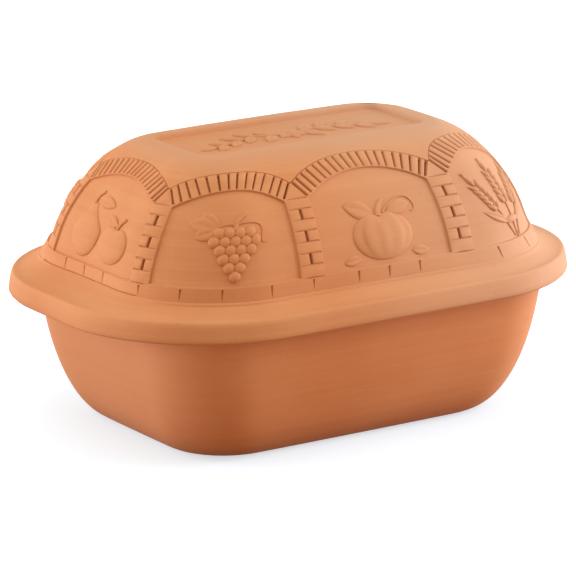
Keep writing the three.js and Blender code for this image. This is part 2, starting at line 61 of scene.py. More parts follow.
# %% [markdown]
# ## Plan outlines
# Seen from above, every level of both bodies is the same kind of outline: a rectangle with round
# corners, whose sides bow out a little, as pressed clay does. A bevelled box or a curve could draw one
# such outline, but here the levels have to match point for point, so a small class works out a place
# from a number of turns: 12 go once round, counter-clockwise from the middle of the +X end, and each
# stands for half an end side, a corner or half a long side. The same turn on two levels is therefore
# the same meridian.

# %% Outline class
TURNS = 12
TURNS_IN_QUARTER = 3


class Plan:
    """A rectangle with round corners and bowed sides."""

    def __init__(self, length, width, corner, bow):
        self.length, self.width = length, width
        self.corner, self.bow = corner, bow

    def inset(self, distance):
        corner = max(self.corner - distance, MM)
        return Plan(self.length - 2 * distance, self.width - 2 * distance, corner, self.bow)

    def blend(self, other, share):
        mix = lambda mine, theirs: mine + (theirs - mine) * share
        return Plan(mix(self.length, other.length), mix(self.width, other.width),
                    mix(self.corner, other.corner), mix(self.bow, other.bow))

    def legs(self, quarter=0):
        half_end = self.width / 2 - self.bow - self.corner
        half_long = self.length / 2 - self.bow - self.corner
        legs = [half_end, self.corner * pi / 2, half_long]
        return legs if quarter % 2 == 0 else legs[::-1]

    def point(self, turn):
        quarter, local = divmod(turn % TURNS, TURNS_IN_QUARTER)
        if quarter % 2 == 1:
            local = TURNS_IN_QUARTER - local
        a, b = self.length / 2 - self.bow, self.width / 2 - self.bow
        if local <= 1:
            x, y = a, local * (b - self.corner)
        elif local <= 2:
            angle = (local - 1) * pi / 2
            x = a - self.corner + self.corner * cos(angle)
            y = b - self.corner + self.corner * sin(angle)
        else:
            x, y = (TURNS_IN_QUARTER - local) * (a - self.corner), b
        out_x = x + self.bow * (x / a) ** 2 * (1 - (y / b) ** 2)
        out_y = y + self.bow * (y / b) ** 2 * (1 - (x / a) ** 2)
        return out_x * (1 if quarter in (0, 3) else -1), out_y * (1 if quarter < 2 else -1)

    def walked(self, turn):
        """How far along the outline a turn lies, in metres."""
        quarter, local = divmod(turn, TURNS_IN_QUARTER)
        legs = self.legs(quarter)
        done = sum(min(max(local - i, 0), 1) * leg for i, leg in enumerate(legs))
        return quarter * sum(legs) + done

    def turned(self, distance):
        """The turn that lies a distance along the outline."""
        quarter, left = divmod(distance, sum(self.legs()))
        turn = quarter * TURNS_IN_QUARTER
        for leg in self.legs(quarter):
            if left <= leg:
                return turn + left / leg
            left -= leg
            turn += 1
        return turn


RIM_CORNER = 50 * MM
TUB_BOW = 1 * MM
RIM = Plan(BASE_HIGH.x - BASE_LOW.x, BASE_HIGH.y - BASE_LOW.y, RIM_CORNER, TUB_BOW)
print("once round the tub's rim", round(4 * sum(RIM.legs()) / MM), "mm")


# %% Curved walls
def quarter_curve(angle, power, run, rise):
    """A wall that follows a superellipse: how upright it is, how far along, and its normal."""
    across = max(cos(angle), 0) ** (2 / power)
    along = max(sin(angle), 0) ** (2 / power)
    normal = Vector((across ** (power - 1) / run, along ** (power - 1) / rise)).normalized()
    return across, along, normal


def quarter_angles(steps):
    return [pi / 2 * step / steps for step in range(steps + 1)]


print("half way up a round wall the normal is", tuple(quarter_curve(pi / 4, 2, 1, 1)[2]))

# %% [markdown]
# ## A sheet of clay wrapped round
# Both bodies are made like a sheet wrapped round a mould: a grid whose columns go once round and whose
# rows run from the inside, over the rim or the flange, to the outside. A spin would need a round plan,
# and bridging loop to loop would leave the faces in no order. The grid operator makes the faces, and
# each keeps its column and row, so that later steps can find it. Every point is then moved to its
# place, the seam is merged and the two ends are closed.

# %% Wrapped sheet
MERGE_DISTANCE = 0.01 * MM


def wrapped_sheet(columns, rows, place, merge=MERGE_DISTANCE):
    """A closed bmesh of columns by rows, with place(column, row) for each of its points."""
    sheet = bmesh.new()
    bmesh.ops.create_grid(sheet, x_segments=columns, y_segments=rows - 1, size=0.5)
    column_of = sheet.faces.layers.int.new("column")
    row_of = sheet.faces.layers.int.new("row")
    index = lambda share, count: round((share + 0.5) * count)
    for face in sheet.faces:
        centre = face.calc_center_median()
        face[column_of] = int((centre.x + 0.5) * columns)
        face[row_of] = int((centre.y + 0.5) * (rows - 1))
    for point in sheet.verts:
        point.co = place(index(point.co.x, columns) % columns, index(point.co.y, rows - 1))
    bmesh.ops.remove_doubles(sheet, verts=sheet.verts, dist=merge)
    for end in bmesh.ops.holes_fill(sheet, edges=sheet.edges, sides=0)["faces"]:
        end[column_of] = end[row_of] = -1
    bmesh.ops.recalc_face_normals(sheet, faces=sheet.faces)
    return sheet


print("points within", MERGE_DISTANCE / MM, "mm of each other are merged")

# %% From sheet to piece
SHARP_ANGLE = radians(42)


def piece_from(sheet, name, levels):
    """A smooth-shaded object from a bmesh, finished by a subdivision surface when levels are given."""
    mesh = bpy.data.meshes.new(name)
    sheet.to_mesh(mesh)
    sheet.free()
    mesh.shade_smooth()
    mesh.set_sharp_from_angle(angle=SHARP_ANGLE)
    piece = bpy.data.objects.new(name, mesh)
    bpy.context.collection.objects.link(piece)
    if levels:
        smoothing = piece.modifiers.new("smoothing", "SUBSURF")
        smoothing.levels = smoothing.render_levels = levels
    print(name, len(mesh.polygons), "faces before smoothing")
    return piece


print("folds over", round(degrees(SHARP_ANGLE)), "degrees stay sharp")

# %% [markdown]
# ## The tub
# The tub's wall rises from a flat bottom in one long curve and is upright at the rim, which the lid
# rests on. A bevelled cube would come near it, but not to the solid's own curve and thickness, so each
# level of the sheet is an outline on that curve. The inside follows the outside at one thickness, and
# the rim's two edges are eased, as a potter does with a wet sponge.

# %% Tub
TUB_WALL = 9 * MM
TUB_CURVE_IN = 31 * MM
TUB_TAPER = 7.5 * MM
TUB_POWER = 2.12
BOTTOM_CORNER = 36 * MM
RIM_EASE = 1.2 * MM
EASE_SHARE = 0.3
HUB_SHARE = 0.3
TUB_COLUMNS = 120
TUB_WALL_STEPS = 14


def tub_level(angle, depth):
    """Outline and height of the wall at an angle of its curve, and at a depth inside it."""
    across, along, normal = quarter_curve(angle, TUB_POWER, TUB_CURVE_IN, RIM_Z)
    share = 1 - across
    outline = RIM.inset(TUB_CURVE_IN * share + TUB_TAPER * along + depth * normal.x)
    outline.corner = RIM_CORNER + (BOTTOM_CORNER - RIM_CORNER) * share - depth * normal.x
    return outline, RIM_Z * (1 - along) + depth * normal.y


def make_tub():
    outside = [tub_level(angle, 0) for angle in reversed(quarter_angles(TUB_WALL_STEPS))]
    inside = [tub_level(angle, TUB_WALL) for angle in quarter_angles(TUB_WALL_STEPS)]
    hub = lambda level: (level[0].inset(level[0].width * HUB_SHARE), level[1])
    mouth = RIM.inset(TUB_WALL)
    eased_z = RIM_Z - RIM_EASE * EASE_SHARE
    rim = [(RIM, RIM_Z - RIM_EASE), (RIM.inset(RIM_EASE * EASE_SHARE), eased_z),
           (RIM.inset(RIM_EASE), RIM_Z), (mouth.inset(-RIM_EASE), RIM_Z),
           (mouth.inset(-RIM_EASE * EASE_SHARE), eased_z), (mouth, RIM_Z - RIM_EASE)]
    levels = [hub(outside[0]), *outside[:-1], *rim, *inside[1:], hub(inside[-1])]

    def place(column, row):
        outline, z = levels[row]
        return Vector((*outline.point(column * TURNS / TUB_COLUMNS), z))

    return piece_from(wrapped_sheet(TUB_COLUMNS, len(levels), place), "tub_clay", 1)


tub = make_tub()

# %% [markdown]
# ## The dome's surface
# The dome rises from its foot to a flat top along one superellipse, and its outline shrinks as it
# climbs. Brickwork that is drawn flat and pressed on by a shrinkwrap would stretch at the corners. It
# is laid out on the surface itself instead, in two lengths that a mason would use: along the outline,
# and up the slope. A small table turns a climb up the slope into the curve's angle.

# %% Slope of the dome
DOME_FOOT = Plan(319 * MM, 216 * MM, 69.5 * MM, 3 * MM)
DOME_TOP = Plan(201 * MM, 90 * MM, 23 * MM, 3 * MM)
DOME_FOOT_Z = RIM_Z + 23 * MM
DOME_RISE = LID_HIGH.z - DOME_FOOT_Z
DOME_RUN = (DOME_FOOT.length - DOME_TOP.length + DOME_FOOT.width - DOME_TOP.width) / 4
DOME_POWER = 1.62
SLOPE_STEPS = 600


def slope_table():
    """The climb up the slope and the height at evenly spaced angles of the curve."""
    climbs, angles, heights = [0.0], [0.0], [0.0]
    last = (0.0, 0.0)
    for angle in quarter_angles(SLOPE_STEPS)[1:]:
        across, along, _ = quarter_curve(angle, DOME_POWER, DOME_RUN, DOME_RISE)
        here = (DOME_RUN * (1 - across), DOME_RISE * along)
        climbs.append(climbs[-1] + hypot(here[0] - last[0], here[1] - last[1]))
        angles.append(angle)
        heights.append(here[1])
        last = here
    return climbs, angles, heights


SLOPE_CLIMBS, SLOPE_ANGLES, SLOPE_HEIGHTS = slope_table()
SLOPE_END = SLOPE_CLIMBS[-1]


def read_table(value, keys, values):
    """The value of a rising table at a place between its keys."""
    spot = min(max(bisect.bisect_left(keys, value), 1), len(keys) - 1)
    share = (value - keys[spot - 1]) / (keys[spot] - keys[spot - 1])
    return values[spot - 1] + (values[spot] - values[spot - 1]) * min(max(share, 0), 1)


def climb_to(height):
    return read_table(height, SLOPE_HEIGHTS, SLOPE_CLIMBS)


print("slope of the dome", round(SLOPE_END / MM, 1), "mm")

# %% Points on the dome
FOOT_SPREAD = 5.5 * MM
SPREAD_CLIMB = 18 * MM


def shell_level(angle, sink):
    """Outline and height of the dome at an angle of its curve, sunk below its surface."""
    across, along, normal = quarter_curve(angle, DOME_POWER, DOME_RUN, DOME_RISE)
    outline = DOME_FOOT.blend(DOME_TOP, 1 - across).inset(sink * normal.x)
    return outline, DOME_FOOT_Z + DOME_RISE * along - sink * normal.y


def dome_level(climb, sink=0.0):
    return shell_level(read_table(climb, SLOPE_CLIMBS, SLOPE_ANGLES), sink)


@lru_cache(maxsize=None)
def dome_outline(climb):
    return dome_level(climb)[0]


def foot_spread(place, climb):
    """How far the dome's foot leans out, at two opposite corners alone."""
    reach = Vector((place.x / DOME_FOOT.length, place.y / DOME_FOOT.width)).normalized()
    corner = max(-2 * reach.x * reach.y, 0)
    return reach * FOOT_SPREAD * corner ** 2 * max(1 - climb / SPREAD_CLIMB, 0) ** 2


def dome_point(turn, climb, sink=0.0):
    outline, z = dome_level(climb, sink)
    place = Vector(outline.point(turn))
    return Vector((*(place + foot_spread(place, climb)), z))


print("a corner of the dome's foot", [round(value / MM, 1) for value in dome_point(1.5, 0)], "mm")

# %% [markdown]
# ## Eight bays
# Eight pilasters divide the dome into bays: two long sides, two ends and four corners. Each bay is a
# sunk panel under an arch of bricks set on edge. The bricks could be boxes stuck on, but the real ones
# are pressed in the lid's own clay, and their joints are scored lines. So the sheet gets a narrow strip
# of faces wherever a line runs: the columns come in pairs, one pair to each joint of an arch, and the
# rows come in pairs, one pair to each bed between courses.

# %% Sizes of the brickwork
JOINT_WIDTH = 1.9 * MM
SEAM_WIDTH = 3.4 * MM
BED_WIDTH = 1.9 * MM
LEDGE_WIDTH = 1.1 * MM
LIP_HEIGHT = 0.4 * MM
LINE_WIDTH = 1.1 * MM
PLINTH_CLIMB = climb_to(9 * MM)
SPRINGING_CLIMB = climb_to(55.5 * MM)
ARCH_RISE = climb_to(67.4 * MM) - SPRINGING_CLIMB
LOW_ARCH_RISE = climb_to(65.3 * MM) - SPRINGING_CLIMB
ARCH_OVERREACH = 1.6
BRICK_LENGTH = 13.7 * MM
COURSES = 7
SPRINGER_TIP = 0.5 * MM
APEX_CLIMB = climb_to(64.4 * MM)
print("arches spring", round(SPRINGING_CLIMB / MM, 1), "mm up the slope and rise",
      round(LOW_ARCH_RISE / MM, 1), "or", round(ARCH_RISE / MM, 1), "mm")

# %% Pilasters
END_PILASTER_ANGLES = radians(16.3), radians(20.6)
END_PILASTER_WIDTH = 14.5 * MM
LONG_PILASTER_SHARES = 0.61, 0.765
LONG_PILASTER_WIDTH = 17.8 * MM


class Pilaster:
    """A strip of bricks up the dome; its turn may drift between its foot and its springing."""

    def __init__(self, foot_turn, springing_turn, width):
        self.foot_turn, self.springing_turn, self.width = foot_turn, springing_turn, width

    def turn(self, climb):
        return self.foot_turn + (self.springing_turn - self.foot_turn) * climb / SPRINGING_CLIMB

    def moved(self, turns):
        return Pilaster(self.foot_turn + turns, self.springing_turn + turns, self.width)


def all_pilasters():
    """Eight pilasters counter-clockwise from the +X end, and the first again a full turn later."""
    half = TURNS / 2
    corner = [1 + angle / (pi / 2) for angle in END_PILASTER_ANGLES]
    low, high = LONG_PILASTER_SHARES
    side = [Pilaster(*corner, END_PILASTER_WIDTH),
            Pilaster(half / 2 - low, half / 2 - low, LONG_PILASTER_WIDTH),
            Pilaster(half / 2 + high, half / 2 + high, LONG_PILASTER_WIDTH),
            Pilaster(*(half - turn for turn in corner), END_PILASTER_WIDTH)]
    ring = side + [pilaster.moved(half) for pilaster in side]
    return ring + [ring[0].moved(TURNS)]


PILASTERS = all_pilasters()
print("pilasters at turns", [round(pilaster.foot_turn, 2) for pilaster in PILASTERS])

# %% Bays
CORNER_BRICKS, LONG_BRICKS, END_BRICKS = 13, 18, 18
ARCH_SAMPLES = 400
JOINT_LOOSENESS = 0.07
CLAY_DRAWS = random.Random(11)


class Bay:
    """One bay between two pilasters, with its joints spaced evenly along the arch."""

    def __init__(self, first, last, bricks, rise):
        self.first, self.last, self.bricks, self.rise = first, last, bricks, rise
        half = self.half_panel(SPRINGING_CLIMB)
        fine = [-1 + 2 * step / ARCH_SAMPLES for step in range(ARCH_SAMPLES + 1)]
        walked = [0.0]
        for a, b in zip(fine, fine[1:]):
            walked.append(walked[-1] + hypot((b - a) * half, self.intrados(b) - self.intrados(a)))
        self.reaches = []
        for joint in range(bricks + 1):
            at_end = joint in (0, bricks)
            loose = 0 if at_end else CLAY_DRAWS.uniform(-JOINT_LOOSENESS, JOINT_LOOSENESS)
            self.reaches.append(read_table(walked[-1] * (joint + loose) / bricks, walked, fine))

    def edges(self, climb):
        outline = dome_outline(climb)
        return (outline.walked(self.first.turn(climb)) + self.first.width / 2,
                outline.walked(self.last.turn(climb)) - self.last.width / 2)

    def half_panel(self, climb):
        left, right = self.edges(climb)
        return (right - left) / 2

    def turn_at(self, offset, climb):
        """The turn at an offset in metres from the panel's middle, at a climb up the slope."""
        left, right = self.edges(climb)
        return dome_outline(climb).turned((left + right) / 2 + offset)

    def intrados(self, reach):
        """How high the arch starts above its springing, at a reach from -1 to 1 across the bay."""
        flat = sqrt(1 - 1 / ARCH_OVERREACH ** 2)
        return self.rise * (sqrt(1 - (reach / ARCH_OVERREACH) ** 2) - flat) / (1 - flat)

    def extrados(self, reach):
        """Where the arch ends above, at a reach from -1 to 1: offset from the panel's middle, and climb."""
        half = self.half_panel(APEX_CLIMB)
        left = half + self.first.width / 2 - SPRINGER_TIP
        right = half + self.last.width / 2 - SPRINGER_TIP
        rise = SPRINGING_CLIMB + self.rise + BRICK_LENGTH - APEX_CLIMB
        offset = reach * (left * (1 - reach) + right * (1 + reach)) / 2
        return offset, APEX_CLIMB + rise * self.intrados(reach) / self.rise


BAY_BRICKS = [CORNER_BRICKS, LONG_BRICKS, CORNER_BRICKS, END_BRICKS] * 2
BAY_RISES = [LOW_ARCH_RISE, ARCH_RISE, ARCH_RISE, LOW_ARCH_RISE] * 2
BAYS = [Bay(*parts) for parts in zip(PILASTERS, PILASTERS[1:], BAY_BRICKS, BAY_RISES)]
for bay in BAYS:
    print("bay from turn", round(bay.first.foot_turn, 2), bay.bricks, "bricks, panel",
          round(2 * bay.half_panel(PLINTH_CLIMB) / MM), "to",
          round(2 * bay.half_panel(SPRINGING_CLIMB) / MM), "mm wide")

# %% [markdown]
# ## The lid's sheet
# The lid is one skin: a hollow, a rib that drops into the tub, a flange that is also the grip, and the
# dome. Its parts could be made apart and joined by booleans, but fired clay has no seams, and the same
# wrapped grid as the tub's gives each face a name. The columns go round the eight bays: the pair on a
# pilaster's centre line, then a pair for each joint of the next arch. The rows go from the hollow's
# ceiling down the inside, round the rib, out under the flange, round its crisp lower edge, over its
# crest and up a cove to a small toe under the plinth, which fades out at the two ends. They climb the
# dome and end in the recess of the flat top. Each row also names the band of faces above it.

# %% Lid columns
TOP_SQUEEZE = 0.2
PLINTH_SQUEEZE = 0.6
TICK_TAPER = 0.45


class Column:
    """One column of the lid's sheet: one side of a pilaster's centre line, or of a joint."""

    def __init__(self, bay, joint, side):
        self.bay, self.joint, self.side = bay, joint, side
        self.width = SEAM_WIDTH if joint is None else JOINT_WIDTH
        if joint is None:
            self.shift = side * SEAM_WIDTH / 2
            self.strip = "seam" if side < 0 else "pilaster"
        else:
            spare = {0: 1, bay.bricks: -1}.get(joint, 0)
            self.shift = (side + spare) * JOINT_WIDTH / 2
            self.strip = "joint" if side < 0 else "pilaster" if joint == bay.bricks else "brick"
            self.reach = bay.reaches[joint] + self.shift / bay.half_panel(SPRINGING_CLIMB)
        self.home = self.station(0, 0)[0]
        share = 0 if joint is None else (joint + 1) / (bay.bricks + 2)
        outline = dome_outline(SLOPE_END)
        start = outline.walked(bay.first.turn(SLOPE_END))
        stop = outline.walked(bay.last.turn(SLOPE_END))
        self.top = outline.turned(start + (stop - start) * share + self.shift * TOP_SQUEEZE)

    def centre_line(self, climb, squeeze=1.0):
        """Turn and climb of a column on a pilaster; the pair stands closer in the plinth."""
        outline = dome_outline(climb)
        if climb < PLINTH_CLIMB:
            squeeze = PLINTH_SQUEEZE
        return outline.turned(outline.walked(self.bay.first.turn(climb)) + self.shift * squeeze), climb

    def station(self, climb, rise):
        """Turn and climb of this column at a climb on the panel, or that climb plus the arch's rise."""
        if self.joint is None:
            return self.centre_line(climb)
        climb += rise * self.bay.intrados(self.reach)
        offset = self.bay.reaches[self.joint] * self.bay.half_panel(climb) + self.shift
        return self.bay.turn_at(offset, climb), climb

    def tick_foot(self):
        """The lower end of a joint in the plinth, which narrows downwards."""
        turn, climb = self.station(LINE_WIDTH, 0)
        outline = dome_outline(climb)
        return outline.turned(outline.walked(turn) - self.side * self.width / 2 * (1 - TICK_TAPER)), climb

    def bed(self, number, upper):
        """The lower or upper edge of the bed on top of a course; bed 0 is the plinth's top."""
        share = number / COURSES
        climb = PLINTH_CLIMB + (SPRINGING_CLIMB - PLINTH_CLIMB) * share
        width = LEDGE_WIDTH if number == 0 and self.joint is not None else BED_WIDTH
        if number == 0:
            climb -= width / 2
        turn, climb = self.station(climb, share)
        if not upper:
            return turn, climb
        if number < COURSES or self.joint is None:
            return turn, climb + width
        crest_turn, crest_climb = self.crest()
        beside_pilaster = (self.joint, self.side) in ((0, -1), (self.bay.bricks, 1))
        share = (BED_WIDTH if beside_pilaster else LIP_HEIGHT) / BRICK_LENGTH
        return turn + (crest_turn - turn) * share, climb + (crest_climb - climb) * share

    def crest(self):
        """The point where this column leaves the bricks for the plain upper dome."""
        if self.joint is None:
            return self.centre_line(APEX_CLIMB, TOP_SQUEEZE)
        offset, climb = self.bay.extrados(self.reach)
        return self.bay.turn_at(offset, climb), climb

    def upper(self, share):
        """A share of the way from the crest to the flat top."""
        turn, climb = self.crest()
        return turn + (self.top - turn) * share, climb + (SLOPE_END - climb) * share


def bay_columns(bay):
    pairs = [None, *range(bay.bricks + 1)]
    return [Column(bay, joint, side) for joint in pairs for side in (-1, 1)]


COLUMNS = [column for bay in BAYS for column in bay_columns(bay)]
print(len(COLUMNS), "columns round the lid")

# %% Rows of the hollow and the rib
LID_WALL = 11 * MM
HOLLOW_STEPS = 9
RIB_DROP = RIM_Z - LID_LOW.z
RIB_CLEARANCE = 1.5 * MM
RIB_THICKNESS = 6 * MM
RIB_EASE = 1 * MM


def level_row(outline, z):
    return "plain", lambda column: Vector((*outline.point(column.home), z))


def hollow_rows():
    hollow = [shell_level(angle, LID_WALL) for angle in reversed(quarter_angles(HOLLOW_STEPS))]
    rib_out = RIM.inset(TUB_WALL + RIB_CLEARANCE)
    rib_in = rib_out.inset(RIB_THICKNESS)
    rib_z = RIM_Z - RIB_DROP
    rib = [(rib_in, RIM_Z), (rib_in, rib_z + RIB_EASE), (rib_in.inset(-RIB_EASE), rib_z),
           (rib_out.inset(RIB_EASE), rib_z), (rib_out, rib_z + RIB_EASE), (rib_out, RIM_Z - RIB_EASE),
           (rib_out, RIM_Z), (rib_out.inset(-RIB_EASE), RIM_Z)]
    return [level_row(*level) for level in hollow + rib]


HOLLOW_ROWS = hollow_rows()
print(len(HOLLOW_ROWS), "rows inside, with a rib", round(RIB_DROP / MM, 1), "mm deep")

# %% Rows of the flange
FLANGE_CORNER, FLANGE_BOW = 101 * MM, 2 * MM
FLANGE = Plan(LID_HIGH.x - LID_LOW.x, LID_HIGH.y - LID_LOW.y, FLANGE_CORNER, FLANGE_BOW)
FLANGE_THICKNESS = 15.5 * MM
LOWER_RISES = [(7.5, 0), (6.5, 0), (3.6, 0.45), (1.8, 1.05), (1.0, 1.5), (0.4, 2.1), (0, 3.0)]
SIDE_FALLS = [(0.4, 9.5), (0.9, 6.5), (1.4, 4.0), (1.8, 2.3), (2.3, 1.2), (2.8, 0.5), (3.4, 0.1),
              (4.3, 0)]
COVE_SHARES = 0.12, 0.24, 0.36, 0.48, 0.6, 0.72, 0.83, 0.92
COVE_POWER = 1.7
TOE_FALLS = [(1.6, 2.1), (1.4, 1.2), (1.1, 0.5), (0.6, 0.15)]
OUTWARD_BASE = 5 * MM
END_TOE = 0.15
TOE_FADE = 0.86, 0.99


def toe_point(column, out, fall):
    """A point of the toe under the plinth, which fades out at the two ends."""
    foot = dome_point(column.home, 0).xy
    outward = (foot - Vector(DOME_FOOT.inset(OUTWARD_BASE).point(column.home))).normalized()
    start, end = TOE_FADE
    fade = min(max((abs(outward.x) - start) / (end - start), 0), 1)
    share = 1 - (1 - END_TOE) * fade
    return Vector((*(foot + outward * out * MM * share), DOME_FOOT_Z - fall * MM * share))


def toe_row(out, fall):
    return "plain", lambda column: toe_point(column, out, fall)


def cove_row(crest, crest_z, share):
    """A share of the way from the flange's crest to the plinth's toe, rising more and more steeply."""
    def place(column):
        toe = toe_point(column, *TOE_FALLS[0])
        flat = Vector(crest.point(column.home)).lerp(toe.xy, share)
        return Vector((*flat, crest_z + (toe.z - crest_z) * share ** COVE_POWER))
    return "plain", place


def flange_rows():
    """The insets, rises and falls of the tables are in millimetres."""
    top_z = RIM_Z + FLANGE_THICKNESS
    rows = [level_row(FLANGE.inset(inset * MM), RIM_Z + rise * MM) for inset, rise in LOWER_RISES]
    rows += [level_row(FLANGE.inset(inset * MM), top_z - fall * MM) for inset, fall in SIDE_FALLS]
    crest = FLANGE.inset(SIDE_FALLS[-1][0] * MM)
    rows += [cove_row(crest, top_z, share) for share in COVE_SHARES]
    return rows + [toe_row(*toe) for toe in TOE_FALLS]


FLANGE_ROWS = flange_rows()
print(len(FLANGE_ROWS), "rows over a flange of", round(FLANGE.length / MM), "by",
      round(FLANGE.width / MM), "mm")

# %% Rows of the dome and its recess
UPPER_SHARES = 0.15, 0.35, 0.55, 0.75, 0.9
RECESS = Plan(181 * MM, 69 * MM, 8 * MM, 1 * MM)
RECESS_SHIFT = Vector((2.5, 4.5)) * MM
RECESS_FALLS = [(-1.5, 0), (-0.6, 0.15), (0, 0.7), (0.7, 3.0), (1.0, 3.7), (1.7, 4.0), (20, 4.0)]
RECESS_DEPTH = RECESS_FALLS[-1][1] * MM
PLATEAU_SHARE = 0.4


def dome_row(band, station):
    return band, lambda column: dome_point(*station(column))


def dome_rows():
    rows = [dome_row("foot_line", lambda column: column.station(0, 0)),
            dome_row("plinth", Column.tick_foot)]
    for number in range(COURSES + 1):
        split = "split" if number % 2 == 1 else "full"
        bed = "ledge" if number == 0 else "lip" if number == COURSES else "bed"
        course = "arch" if number == COURSES else split
        rows.append(dome_row(bed, lambda column, number=number: column.bed(number, False)))
        rows.append(dome_row(course, lambda column, number=number: column.bed(number, True)))
    rows.append(dome_row("crown_line", Column.crest))
    line = LINE_WIDTH / (SLOPE_END - APEX_CLIMB)
    for share in (line, *UPPER_SHARES):
        rows.append(dome_row("plain", lambda column, share=share: column.upper(share)))
    return rows


def top_row(outline, fall=0.0, shift=Vector((0, 0))):
    place = lambda column: Vector((*(Vector(outline.point(column.top)) + shift), LID_HIGH.z - fall))
    return "plain", place


def top_rows():
    plateau = DOME_TOP.blend(RECESS, PLATEAU_SHARE)
    rows = [top_row(DOME_TOP), top_row(plateau, shift=RECESS_SHIFT * PLATEAU_SHARE)]
    for inset, fall in RECESS_FALLS:
        rows.append(top_row(RECESS.inset(inset * MM), fall * MM, RECESS_SHIFT))
    return rows


LID_ROWS = HOLLOW_ROWS + FLANGE_ROWS + dome_rows() + top_rows()
print(len(LID_ROWS), "rows over the lid")

# %% [markdown]
# ## Scored joints and sunk panels
# The mould leaves a groove between any two bricks and sinks the panels. A boolean cut for each groove
# would be slow and leave ragged faces, and a bump in the finish would leave the clay flat. Here the
# narrow faces are gathered by the names of their row and column and inset with a negative depth: first
# an eased edge, which catches the light, then a steep side. The joints of the arches are cut one by
# one, in three depths, as a hand-cut mould has them. The panels are inset as whole regions and sink in
# small steps that make a soft hollow curve. The points at the bottom of a groove get a mark, by which
# the finish paints shade into them on top of the shade that the groove casts itself.

# %% Faces by name
END_BAYS = 3, 7
TICK_JOINTS = [(3, 6, 10), (5, 9, 13), (3, 7, 10), (4, 8, 12)] * 2
KINDS = "foot_line crown_line bed split ledge tick end_tick joint brick panel".split()


def ticked(column):
    """Whether the plinth has a joint under this column: three to a bay, and one at some pilasters."""
    bay = BAYS.index(column.bay)
    if column.joint is None:
        return column.strip == "seam" and bay % 4 < 2
    return column.strip == "joint" and column.joint in TICK_JOINTS[bay]


def sort_faces(sheet):
    """The faces of each kind of relief, from the names of their row and column."""
    column_of, row_of = sheet.faces.layers.int["column"], sheet.faces.layers.int["row"]
    kinds = {kind: [] for kind in KINDS}
    for face in sheet.faces:
        if face[row_of] < 0:
            continue
        column, band = COLUMNS[face[column_of]], LID_ROWS[face[row_of]][0]
        on_pilaster = column.strip in ("seam", "pilaster")
        in_end_bay = BAYS.index(column.bay) in END_BAYS
        if band == "crown_line" or (band == "foot_line" and in_end_bay):
            kinds[band].append(face)
        elif band == "plinth" and ticked(column):
            kinds["end_tick" if in_end_bay else "tick"].append(face)
        elif on_pilaster and band in ("ledge", "bed", "lip"):
            kinds["bed"].append(face)
        elif band == "split" and column.strip == "seam":
            kinds["split"].append(face)
        elif band == "ledge" and in_end_bay and not on_pilaster:
            kinds["ledge"].append(face)
        elif band in ("bed", "full", "split") and not on_pilaster:
            kinds["panel"].append(face)
        elif band == "arch" and column.strip in ("joint", "brick"):
            kinds[column.strip].append(face)
    return kinds


lid_sheet = wrapped_sheet(len(COLUMNS), len(LID_ROWS), lambda column, row: LID_ROWS[row][1](COLUMNS[column]))
# painted shade in the grooves is marked on this layer of points
lid_sheet.verts.layers.float.new("scored")
LID_FACES = sort_faces(lid_sheet)
print("faces to work on", {kind: len(faces) for kind, faces in LID_FACES.items()})

# %% Grooves and panels
GROOVE_CUTS = [(0.26, 0.1), (0.6, 0.9)]
NOTCH_CUTS = [(0.9, 1.0)]
LINE_SIDE = 0.35 * MM
BED_DEPTH = 0.6 * MM
SPLIT_DEPTH = 1.2 * MM
SPLIT_SIDE = 0.25 * MM
LEDGE_DEPTH = 0.7 * MM
FOOT_LINE_DEPTH = 0.6 * MM
CROWN_LINE_DEPTH = 0.9 * MM
JOINT_DEPTHS = [2.0 * MM, 2.4 * MM, 2.8 * MM]
TICK_DEPTH = 1.9 * MM
NOTCH_DEPTH = 1.15 * MM
BRICK_EASE = 0.4 * MM
BRICK_LIFTS = [0.0, 0.1 * MM, 0.2 * MM]
# painted shade: how far the bottom of each kind of groove is darkened towards the deep colour
GROOVE_SHADES = {"bed": 0.5, "split": 1, "joint": 1, "tick": 0.5, "end_tick": 0.9, "ledge": 0.6,
                 "foot_line": 0.6, "crown_line": 0.7}
PANEL_STEPS = [(0.12 * MM, -0.06 * MM), (0.14 * MM, -0.35 * MM), (0.12 * MM, -0.75 * MM),
               (0.14 * MM, -0.4 * MM), (0.4 * MM, -0.12 * MM)]


def groove(cut, sheet, faces, width, depth, cuts=GROOVE_CUTS):
    """A sloping edge and then a steep side, made by one of the two inset operators."""
    for side, fall in cuts:
        cut(sheet, faces=faces, thickness=side * width / 2, depth=-fall * depth, use_even_offset=True)


def in_batches(faces, amounts):
    """Deals the faces out at random, one batch to each amount."""
    CLAY_DRAWS.shuffle(faces)
    return [(faces[i::len(amounts)], amount) for i, amount in enumerate(amounts)]


def shade(sheet, faces, amount):
    """Marks the points at the bottom of a groove, where the finish paints shade."""
    scored = sheet.verts.layers.float["scored"]
    for point in {point for face in faces for point in face.verts}:
        point[scored] = amount


